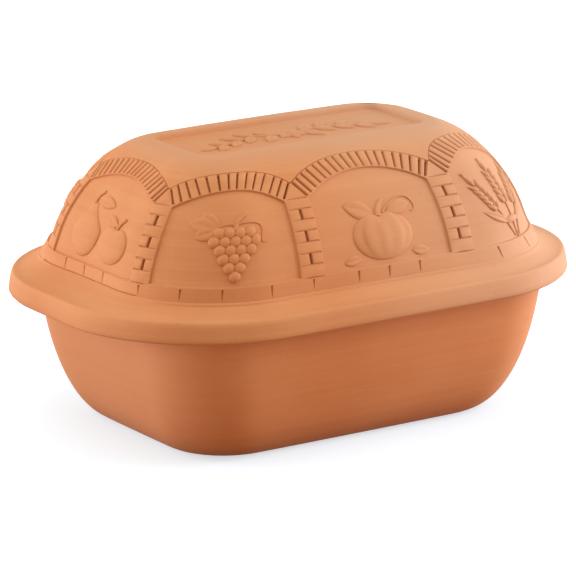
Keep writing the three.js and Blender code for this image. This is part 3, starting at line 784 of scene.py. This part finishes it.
def score_lid(sheet, kinds):
    for line, depth in (("foot_line", FOOT_LINE_DEPTH), ("crown_line", CROWN_LINE_DEPTH)):
        bmesh.ops.inset_region(sheet, faces=kinds[line], thickness=LINE_SIDE, depth=-depth)
    groove(bmesh.ops.inset_region, sheet, kinds["bed"] + kinds["split"], BED_WIDTH, BED_DEPTH)
    bmesh.ops.inset_individual(sheet, faces=kinds["split"], thickness=SPLIT_SIDE, depth=-SPLIT_DEPTH)
    for faces, depth in [*in_batches(kinds["joint"], JOINT_DEPTHS), (kinds["end_tick"], TICK_DEPTH)]:
        groove(bmesh.ops.inset_individual, sheet, faces, JOINT_WIDTH, depth)
    groove(bmesh.ops.inset_individual, sheet, kinds["tick"], JOINT_WIDTH, NOTCH_DEPTH, NOTCH_CUTS)
    for faces, lift in in_batches(kinds["brick"], BRICK_LIFTS):
        bmesh.ops.inset_individual(sheet, faces=faces, thickness=BRICK_EASE, depth=lift, use_even_offset=True)
    sunk = kinds["panel"] + kinds["ledge"]
    for width, lift in PANEL_STEPS:
        bmesh.ops.inset_region(sheet, faces=sunk, thickness=width, depth=lift, use_even_offset=True)
    bmesh.ops.inset_region(sheet, faces=kinds["ledge"], thickness=LINE_SIDE / 2, depth=-LEDGE_DEPTH)
    for kind, amount in GROOVE_SHADES.items():
        shade(sheet, kinds[kind], amount)


score_lid(lid_sheet, LID_FACES)
print("scored lid of", len(lid_sheet.faces), "faces")

# %% [markdown]
# ## Relief on the panels
# The panels carry low reliefs of garden produce: a squash on the long sides, ears of wheat and bunches
# of grapes on the corners, a pear and an apple on the ends, and a leaf garland in the recess on top.
# They could be pushed out of the dome by displacement, which needs a very fine sheet. Here they are
# modelled flat, as a mould cutter draws them, from spheres squashed into pods and leaves and from tubes
# for the stems, and are then bent on to the dome. The drawings are in millimetres.

# %% Leaf and fruit shapes
def leaf_shape(point):
    """Pointed at both ends, with a vein pressed in along the middle."""
    taper = max(1 - point.x ** 2, 0) ** 0.45
    vein = 0.55 + 0.6 * min(abs(point.y) * 1.6, 1)
    return Vector((point.x, point.y * taper, point.z * vein))


def kernel_shape(point):
    """Round at its foot and pointed at its tip, towards +X."""
    taper = 1 - 0.6 * ((point.x + 1) / 2) ** 2
    return Vector((point.x, point.y * taper, point.z * taper))


def pear_shape(point):
    """Full below and narrow above."""
    share = min(max((point.y + 0.2) / 0.9, 0), 1)
    taper = 1 - 0.56 * share * share * (3 - 2 * share)
    return Vector((point.x * taper, point.y, point.z * taper))


def apple_shape(point):
    """Round, with a dip where the stem grows."""
    dip = 0.2 * max(1 - abs(point.x) * 2.4, 0) if point.y > 0 else 0
    return Vector((point.x, point.y * (1 - dip), point.z))


def squash_shape(point):
    """Ribs from top to bottom, with a dip at the crown."""
    spread = hypot(point.x, point.z)
    swing = point.x / spread if spread > 1e-6 else 0
    rib = 1 - 0.16 * (1 - abs(cos(swing * pi * 1.9))) * spread
    dip = 0.22 * max(1 - abs(point.x) * 2.2, 0) ** 2 if point.y > 0 else 0
    return Vector((point.x * rib, point.y * (1 - dip), point.z * rib))


print("a leaf is", round(leaf_shape(Vector((0.8, 1, 0))).y, 2), "of its width near the tip")

# %% Relief class
STEM_STEPS = 9
STEM_SIDES = 8
STEM_MERGE = 1e-5
POD_GRID = 16, 10
LEAF_GRID = 24, 12
FRUIT_GRID = 48, 24


class Relief:
    """Forms laid out flat in millimetres: across, up and out of the panel."""

    def __init__(self):
        self.clay = bmesh.new()

    def pod(self, size, at, turn=0, shape=None, grid=POD_GRID):
        """A squashed sphere of a width, height and rise, turned in the plane of the panel."""
        around, along = grid
        made = bmesh.ops.create_uvsphere(self.clay, u_segments=around, v_segments=along, radius=1)["verts"]
        if shape:
            for point in made:
                point.co = shape(point.co)
        spread = Matrix.Diagonal((size[0] / 2, size[1] / 2, size[2], 1))
        matrix = Matrix.Translation((*at, 0)) @ Matrix.Rotation(radians(turn), 4, "Z") @ spread
        bmesh.ops.transform(self.clay, matrix=matrix, verts=made)

    def leaf(self, length, width, root, turn, rise=1.5):
        """A leaf that grows from its root in a direction."""
        reach = Matrix.Rotation(radians(turn), 2) @ Vector((length / 2, 0))
        self.pod((length, width, rise), Vector(root) + reach, turn, leaf_shape, LEAF_GRID)

    def stem(self, start, pull, end, width, rise, taper=0.5):
        """A tube along a curve from start to end, drawn towards a third point."""
        start, pull, end = Vector(start), Vector(pull), Vector(end)

        def place(column, row):
            share = row / (STEM_STEPS - 1)
            centre = start * (1 - share) ** 2 + pull * 2 * share * (1 - share) + end * share ** 2
            along = ((pull - start) * (1 - share) + (end - pull) * share).normalized()
            size = 1 - taper * share
            angle = 2 * pi * column / STEM_SIDES
            side = Vector((-along.y, along.x)) * cos(angle) * width / 2 * size
            return Vector((*(centre + side), sin(angle) * rise * size))

        tube = bpy.data.meshes.new("tube")
        sheet = wrapped_sheet(STEM_SIDES, STEM_STEPS, place, merge=STEM_MERGE)
        sheet.to_mesh(tube)
        sheet.free()
        self.clay.from_mesh(tube)
        bpy.data.meshes.remove(tube)

    def settle(self, body, bend):
        """Bends the forms on to a surface and adds them to a body of clay."""
        for point in self.clay.verts:
            point.co = bend(point.co * MM)
        bmesh.ops.recalc_face_normals(self.clay, faces=self.clay.faces)
        forms = bpy.data.meshes.new("forms")
        self.clay.to_mesh(forms)
        self.clay.free()
        body.from_mesh(forms)
        print("relief of", len(forms.polygons), "faces")
        bpy.data.meshes.remove(forms)


print("pods of", POD_GRID, "leaves of", LEAF_GRID, "and fruits of", FRUIT_GRID, "segments")

# %% Pressed on to the panels
PANEL_SINK = -sum(lift for _, lift in PANEL_STEPS)


def panel_bend(bay):
    """From flat places on a panel, up from its plinth, to points on the sunk dome."""
    def bend(point):
        climb = PLINTH_CLIMB + point.y
        return dome_point(bay.turn_at(point.x, climb), climb, PANEL_SINK - point.z)
    return bend


def press(picture, first_bay):
    """Presses a picture on to a panel and on to the one opposite."""
    for bay in BAYS[first_bay::len(BAYS) // 2]:
        picture().settle(lid_sheet, panel_bend(bay))


print("panels are sunk by", round(PANEL_SINK / MM, 2), "mm")


# %% Squash
def squash():
    relief = Relief()
    relief.pod((47, 33, 3.2), (0, 20), shape=squash_shape, grid=FRUIT_GRID)
    relief.stem((0, 33), (1, 41), (8, 44), 5.5, 1.8)
    relief.leaf(23, 13, (-3, 35), 158)
    relief.leaf(20, 11, (7, 35), 12)
    relief.stem((4, 35), (23, 51), (29, 40), 1.7, 1.0, taper=0.2)
    relief.stem((29, 40), (32, 33), (26, 33), 1.4, 0.9, taper=0.3)
    relief.leaf(14, 7, (20, 7), -8, rise=1.1)
    relief.leaf(14, 7, (-20, 7), 188, rise=1.1)
    return relief


press(squash, 1)

# %% Wheat
EARS = [(22, (-4, 5), 41), (-3, (0, 3), 47), (-28, (4, 5), 40)]
KERNEL_PAIRS = 5


def wheat():
    relief = Relief()
    for lean, foot, reach in EARS:
        up = Vector((-sin(radians(lean)), cos(radians(lean))))
        side = Vector((up.y, -up.x))
        foot = Vector(foot)
        tip = foot + up * reach
        relief.stem(foot - up * 3, foot + up * reach * 0.4 + side, tip, 1.8, 1.1, taper=0.3)
        for pair in range(KERNEL_PAIRS):
            root = foot + up * (reach * 0.48 + pair * reach * 0.1)
            for hand in (-1, 1):
                turn = 90 + lean - hand * 34
                reach_out = Matrix.Rotation(radians(turn), 2) @ Vector((3.6, 0))
                relief.pod((8.4, 5, 2.3), root + side * hand * 1.3 + reach_out, turn, kernel_shape)
        relief.pod((9, 5, 2.3), tip + up * 3.5, 90 + lean, kernel_shape)
        for spread in (-7, 0, 7):
            away = Matrix.Rotation(radians(spread), 2) @ up
            relief.stem(tip, tip + away * 5, tip + away * 10, 0.9, 0.7)
    relief.leaf(24, 6.5, (-4, 12), 152)
    relief.leaf(22, 6, (5, 11), 34)
    relief.pod((15, 5, 1.9), (0, 13.5), 2)
    return relief


press(wheat, 2)

# %% Grapes
GRAPE_ROWS = 4, 5, 4, 3, 2, 1


def grapes():
    relief = Relief()
    for row, count in enumerate(GRAPE_ROWS):
        for i in range(count):
            across = (i - (count - 1) / 2) * 6.9 + (row % 3 - 1) * 0.5
            relief.pod((8, 8, 2.5), (across + 3, 36 - row * 5.7))
    relief.stem((3, 38), (2, 44), (9, 49), 3.4, 1.4, taper=0.1)
    for turn, length in ((170, 19), (205, 17), (138, 15), (240, 12)):
        relief.leaf(length, length * 0.62, (-8, 40), turn)
    relief.stem((3, 42), (24, 46), (22, 33), 1.5, 0.9, taper=0.2)
    relief.stem((22, 33), (21, 27), (26, 29), 1.2, 0.8, taper=0.3)
    relief.stem((2, 42), (-4, 43), (-9, 40), 2, 1)
    return relief


press(grapes, 0)


# %% Pear and apple
def fruit():
    relief = Relief()
    relief.pod((33, 39, 3.3), (-16, 23), 7, pear_shape, FRUIT_GRID)
    relief.stem((-18, 40), (-19, 46), (-14, 50), 2.6, 1.4, taper=0.1)
    relief.leaf(22, 9, (-17, 45), -6)
    relief.pod((31, 26, 3.1), (18, 18), shape=apple_shape, grid=FRUIT_GRID)
    relief.stem((18, 27), (18, 33), (23, 37), 2.6, 1.4, taper=0.1)
    relief.leaf(16, 8, (17, 31), 165)
    return relief


press(fruit, 3)

# %% Garland in the recess
GARLAND_PAIRS = 4
GARLAND_REACH = 56
TWIG_PARTS = 3
PETALS = 6


def garland():
    """Two leafy twigs that grow out of one flower."""
    relief = Relief()
    for hand in (-1, 1):
        twig = lambda share: Vector((hand * (7 + GARLAND_REACH * share), 6 * sin(share * pi * 1.6)))
        for part in range(TWIG_PARTS):
            ends = [twig((part + half) / TWIG_PARTS) for half in (0, 0.5, 1)]
            relief.stem(*ends, 3 - part * 0.5, 1.5, taper=0.15)
        for pair in range(GARLAND_PAIRS):
            for swing in (-1, 1):
                root = twig((pair + 0.25 + swing * 0.12) / GARLAND_PAIRS)
                turn = 90 - hand * 90 + swing * (52 - pair * 3)
                relief.leaf(19 - pair * 1.5, 9 - pair * 0.5, root, turn, rise=2)
        relief.leaf(15, 7.5, twig(0.97), 90 - hand * 100, rise=2)
    for petal in range(PETALS):
        relief.leaf(12, 8, (0, 0), (petal + 0.5) * 360 / PETALS, rise=2)
    relief.pod((7, 7, 3), (0, 0))
    return relief


garland().settle(lid_sheet, lambda point: point + Vector((*RECESS_SHIFT, LID_HIGH.z - RECESS_DEPTH)))
lid = piece_from(lid_sheet, "lid_clay", 0)

# %% [markdown]
# ## Terracotta
# Unglazed clay is matt. Its colour drifts in soft clouds from the firing, a damp sponge has left fine
# level streaks, and there are small grains and pits. A painted sheen makes the lid paler towards one
# end and on its top, and the tub at its two ends, where the light falls on them or grazes them. The tub
# is painted darker towards its foot as a shadow, and the marked bottoms of the grooves get a painted
# shade. An image map could hold all this, but it would blur close up. Noise on Object coordinates is
# fine at any distance and stays on the clay from every side.

# %% Shader sockets as expressions
class Wire:
    """A node's output that can be used in Python expressions."""

    def __init__(self, maker, socket):
        self.maker, self.socket = maker, socket

    def math(self, operation, first, second):
        return self.maker.node("ShaderNodeMath", {"operation": operation}, {0: first, 1: second})

    def __add__(self, other):
        return self.math("ADD", self, other)

    def __mul__(self, other):
        return self.math("MULTIPLY", self, other)

    def __sub__(self, other):
        return self.math("SUBTRACT", self, other)

    def __rsub__(self, other):
        return self.math("SUBTRACT", other, self)

    __radd__, __rmul__ = __add__, __mul__


print("wires can be added, subtracted and multiplied, with numbers on either side")

# %% Nodes of a finish
SEEN_RAYS = "Is Camera Ray", "Is Glossy Ray", "Is Transmission Ray"


class Finish:
    """Builds the nodes of a material round its Principled BSDF, or those of a world."""

    def __init__(self, name, world=None):
        self.material = world or bpy.data.materials.new(name)
        self.material.use_nodes = True
        self.tree = self.material.node_tree
        self.shader = self.tree.nodes.get("Principled BSDF")

    def node(self, kind, settings, inputs, output=0):
        made = self.tree.nodes.new(kind)
        for key, value in settings.items():
            setattr(made, key, value)
        for key, value in inputs.items():
            self.feed(made.inputs[key], value)
        return Wire(self, made.outputs[output])

    def feed(self, socket, value):
        if isinstance(value, Wire):
            self.tree.links.new(value.socket, socket)
        else:
            socket.default_value = value

    def noise(self, place, scale, detail=3.0, roughness=0.55):
        inputs = {"Vector": place, "Scale": scale, "Detail": detail, "Roughness": roughness}
        return self.node("ShaderNodeTexNoise", {}, inputs)

    def stretched(self, place, scale):
        return self.node("ShaderNodeMapping", {"vector_type": "POINT"}, {"Vector": place, "Scale": scale})

    def between(self, value, low, high):
        inputs = {"Value": value, "From Min": low, "From Max": high}
        return self.node("ShaderNodeMapRange", {"clamp": True}, inputs)

    def mix(self, share, first, second):
        settings = {"data_type": "RGBA"}
        return self.node("ShaderNodeMix", settings, {0: share, 6: first, 7: second}, output=2)

    def seen(self):
        """1 for the rays that show a background: the camera's, and those off gloss or through glass."""
        rays = [self.node("ShaderNodeLightPath", {}, {}, output=ray) for ray in SEEN_RAYS]
        return rays[0] + rays[1] + rays[2]


def srgb(red, green, blue):
    """A colour written as it looks on screen, as the linear values that the shader takes."""
    linear = lambda c: c / 12.92 if c <= 0.04045 else ((c + 0.055) / 1.055) ** 2.4
    return (*(linear(c / 255) for c in (red, green, blue)), 1.0)


print("middle grey on screen is", round(srgb(128, 128, 128)[0], 3), "to the shader")

# %% Terracotta finish
CLOUD_SCALE, PIT_SCALE, GRAIN_SCALE = 9.0, 420.0, 900.0
STREAK_STRETCH = 5.0, 5.0, 170.0
TURNING_STRETCH = 7.0, 7.0, 750.0
CLOUD_SHARE, STREAK_SHARE, TURNING_SHARE = 0.58, 0.28, 0.14
TONE_RANGE = 0.38, 0.64
PIT_RANGE = 0.7, 0.78
# painted sheen: the lid is painted paler towards its +X end and on its top, the tub towards both ends
LID_PAINTED_SHEEN_ALONG = -0.05, 0.13
TUB_PAINTED_SHEEN_ALONG = 0.09, 0.15
PAINTED_SHEEN_UP = 0.186, 0.192
END_PAINTED_SHEEN, TOP_PAINTED_SHEEN = 0.75, 0.4
# painted shadow: the tub's colour darkens towards its foot, where it meets the floor
PAINTED_FOOT_SHADOW_UP = 0.022, 0.0
# the foot's tone is a painted shadow, the grooves' tone a painted shade; the pits are real
PAINTED_FOOT_SHADOW, PIT_TONE, GROOVE_SHADE_TONE = 0.3, 0.3, 0.7
SMOOTHEST, GRAIN_ROUGHNESS = 0.62, 0.2
GRAIN_HEIGHT, STREAK_HEIGHT, PIT_DEPTH = 0.5, 0.5, 0.6
BUMP = {"Strength": 0.25, "Distance": 0.25 * MM}
MATT = {"Specular IOR Level": 0.2, "Sheen Weight": 0.03, "Sheen Roughness": 0.5,
        "Sheen Tint": (1, 0.95, 0.9, 1)}


def terracotta(name, pale, body, deep, painted_sheen_colour, painted_sheen_share, painted_sheen_along, both_ends):
    clay = Finish(name)
    place = clay.node("ShaderNodeTexCoord", {}, {}, output="Object")
    clouds = clay.noise(place, CLOUD_SCALE, detail=4.0)
    streaks = clay.noise(clay.stretched(place, STREAK_STRETCH), 1.0, detail=5.0)
    grain = clay.noise(place, GRAIN_SCALE, detail=2.0)
    turnings = clay.noise(clay.stretched(place, TURNING_STRETCH), 1.0, detail=3.0)
    drift = clouds * CLOUD_SHARE + streaks * STREAK_SHARE + turnings * TURNING_SHARE
    colour = clay.mix(clay.between(drift, *TONE_RANGE), body, pale)
    along, up = (clay.node("ShaderNodeSeparateXYZ", {}, {0: place}, output=axis) for axis in "XZ")
    if both_ends:
        along = clay.node("ShaderNodeMath", {"operation": "ABSOLUTE"}, {0: along})
    # painted sheen: paler where the light falls on the ends and grazes the top
    painted_sheen = clay.between(along, *painted_sheen_along) * END_PAINTED_SHEEN + clay.between(up, *PAINTED_SHEEN_UP) * TOP_PAINTED_SHEEN
    colour = clay.mix(painted_sheen * painted_sheen_share, colour, painted_sheen_colour)
    # painted shadow at the tub's foot, mixed towards the deep colour
    colour = clay.mix(clay.between(up, *PAINTED_FOOT_SHADOW_UP) * PAINTED_FOOT_SHADOW, colour, deep)
    pits = clay.between(clay.noise(place, PIT_SCALE, detail=2.0), *PIT_RANGE)
    # painted shade in the marked bottoms of the grooves, mixed in with the real pits
    scored = clay.node("ShaderNodeAttribute", {"attribute_name": "scored"}, {}, output="Fac")
    colour = clay.mix(pits * PIT_TONE + scored * GROOVE_SHADE_TONE, colour, deep)
    height = grain * GRAIN_HEIGHT + streaks * STREAK_HEIGHT - pits * PIT_DEPTH
    clay.feed(clay.shader.inputs["Base Color"], colour)
    clay.feed(clay.shader.inputs["Roughness"], SMOOTHEST + grain * GRAIN_ROUGHNESS)
    clay.feed(clay.shader.inputs["Normal"], clay.node("ShaderNodeBump", {}, {**BUMP, "Height": height}))
    for socket, value in MATT.items():
        clay.shader.inputs[socket].default_value = value
    return clay.material


# after pale, body and deep, the fourth colour is the pale colour of the painted sheen
LID_FINISH = terracotta("lid_terracotta", srgb(211, 151, 110), srgb(200, 134, 92), srgb(150, 82, 44),
                        srgb(205, 166, 143), 0.85, LID_PAINTED_SHEEN_ALONG, both_ends=False)
TUB_FINISH = terracotta("tub_terracotta", srgb(215, 148, 105), srgb(205, 132, 86), srgb(156, 84, 45),
                        srgb(214, 158, 122), 0.6, TUB_PAINTED_SHEEN_ALONG, both_ends=True)
lid.data.materials.append(LID_FINISH)
tub.data.materials.append(TUB_FINISH)
print("each finish has", len(LID_FINISH.node_tree.nodes), "or", len(TUB_FINISH.node_tree.nodes), "nodes")

# %% [markdown]
# ## Floor, light and camera
# The photograph is a studio shot on white, from a little above and past one corner. One big lamp would
# light the clay evenly and flatten the relief, so five soft ones stand round it: two low ones at the
# left end, the stronger one behind it, a low and a high one at the right, and a wide one overhead.
# Little light comes from the front, and the corner nearest the camera is the darkest. The floor is
# white to the camera and keeps only the soft shadow under the tub.

# %% Camera
CAMERA_AZIMUTH = radians(-33.7)
CAMERA_ELEVATION = radians(15.36)
CAMERA_DISTANCE = 3.0
PHOTO_PIXELS = 576
PHOTO_FOCUS_PIXELS = 4440
SENSOR = 36
CLIP_END = 100
AIM_HEIGHT = 83.1 * MM
AIM_SIDEWAYS = -1.7 * MM


def direction(azimuth, elevation):
    """From the object towards a viewer at an azimuth and elevation."""
    return Vector((sin(azimuth) * cos(elevation), -cos(azimuth) * cos(elevation), sin(elevation)))


def aim(thing, target):
    thing.rotation_euler = (target - thing.location).to_track_quat("-Z", "Y").to_euler()


def make_camera():
    lens = bpy.data.cameras.new("camera")
    lens.sensor_width = SENSOR
    lens.lens = PHOTO_FOCUS_PIXELS * SENSOR / PHOTO_PIXELS
    lens.clip_end = CLIP_END
    camera = bpy.data.objects.new("camera", lens)
    bpy.context.collection.objects.link(camera)
    sideways = Vector((cos(CAMERA_AZIMUTH), sin(CAMERA_AZIMUTH), 0))
    target = Vector((0, 0, AIM_HEIGHT)) + sideways * AIM_SIDEWAYS
    camera.location = target + direction(CAMERA_AZIMUTH, CAMERA_ELEVATION) * CAMERA_DISTANCE
    aim(camera, target)
    bpy.context.scene.camera = camera
    print("camera at", [round(value, 3) for value in camera.location], "lens", round(lens.lens, 1), "mm")


make_camera()

# %% Floor
FLOOR_SIZE = 12.0
FLOOR_GAP = 0.2 * MM
FLOOR_FADE = 0.2, 0.7
WHITE, BLACK = (1, 1, 1, 1), (0, 0, 0, 1)
FLOOR_GLOW_NEAR, FLOOR_GLOW_FAR = (0.6, 0.6, 0.61, 1), WHITE
FLOOR_SEEN, FLOOR_BOUNCE = (0.45, 0.6, 0.8, 1), (0.36, 0.15, 0.05, 1)


def make_floor():
    """White to the camera, with a shadow; the light that it throws back on the clay is dim and warm."""
    ground = bmesh.new()
    bmesh.ops.create_grid(ground, x_segments=1, y_segments=1, size=FLOOR_SIZE / 2)
    bmesh.ops.translate(ground, vec=(0, 0, -FLOOR_GAP), verts=ground.verts)
    floor = piece_from(ground, "floor", 0)
    white = Finish("white_floor")
    white.shader.inputs["Roughness"].default_value = 1
    white.shader.inputs["Specular IOR Level"].default_value = 0
    seen = white.seen()
    place = white.node("ShaderNodeTexCoord", {}, {}, output="Object")
    away = white.node("ShaderNodeVectorMath", {"operation": "LENGTH"}, {0: place}, output="Value")
    lift = white.mix(white.between(away, *FLOOR_FADE), FLOOR_GLOW_NEAR, FLOOR_GLOW_FAR)
    white.feed(white.shader.inputs["Emission Color"], white.mix(seen, BLACK, lift))
    white.feed(white.shader.inputs["Base Color"], white.mix(seen, FLOOR_BOUNCE, FLOOR_SEEN))
    white.shader.inputs["Emission Strength"].default_value = 1
    floor.data.materials.append(white.material)


make_floor()

# %% Light of the room
ROOM_STRENGTH = 0.7
ROOM_COLOUR = (1, 0.82, 0.52, 1)


def make_room():
    """A warm, even light on the clay, and a white backdrop to the camera."""
    world = bpy.data.worlds.new("studio")
    bpy.context.scene.world = world
    room = Finish("room", world)
    light = room.node("ShaderNodeBackground", {}, {"Color": ROOM_COLOUR, "Strength": ROOM_STRENGTH})
    backdrop = room.node("ShaderNodeBackground", {}, {"Color": WHITE, "Strength": 1})
    both = room.node("ShaderNodeMixShader", {}, {0: room.seen(), 1: light, 2: backdrop})
    room.feed(room.tree.nodes["World Output"].inputs["Surface"], both)


make_room()
bpy.context.scene.view_settings.view_transform = "Standard"
print("room light of strength", ROOM_STRENGTH)

# %% Lamps
LAMPS = [
    ("left_lamp", -98, 0, 1.1, (1.0, 0.28), 3.3),
    ("left_back_lamp", -133, 9, 1.2, (1.0, 0.3), 6.3),
    ("right_lamp", 70, 2, 1.1, (1.0, 0.3), 9.2),
    ("right_high_lamp", 48, 31, 1.6, (0.9, 0.9), 7.7),
    ("top_lamp", -80, 72, 1.5, (1.2, 1.2), 6.6),
]


def soft_lamp(name, azimuth, elevation, distance, size, power):
    """A rectangle of light, aimed at the clay from an azimuth and elevation in degrees."""
    light = bpy.data.lights.new(name, "AREA")
    light.shape, light.size, light.size_y = "RECTANGLE", *size
    light.energy = power
    lamp = bpy.data.objects.new(name, light)
    bpy.context.collection.objects.link(lamp)
    target = Vector((0, 0, AIM_HEIGHT))
    lamp.location = target + direction(radians(azimuth), radians(elevation)) * distance
    aim(lamp, target)


for lamp in LAMPS:
    soft_lamp(*lamp)
print(len(LAMPS), "lamps of", round(sum(lamp[-1] for lamp in LAMPS), 1), "watts together")

# %% [markdown]
# ## On to the frame
# Each clay mesh stands for its CAD solid and moves with that solid's body: the lid lifts and the tub
# stays. Parenting by hand could do the same for one pose, but the frame knows every joint.

# %% Ride on the frame and hide the solids
PIECES = [(tub, "base", "roaster_base", "base_clay"), (lid, "lid", "roaster_lid", "lid_clay")]
for piece, body, node, slot in PIECES:
    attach(piece, body)
    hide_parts(node)
    print(piece.name, "rides on", body, "in place of", node)
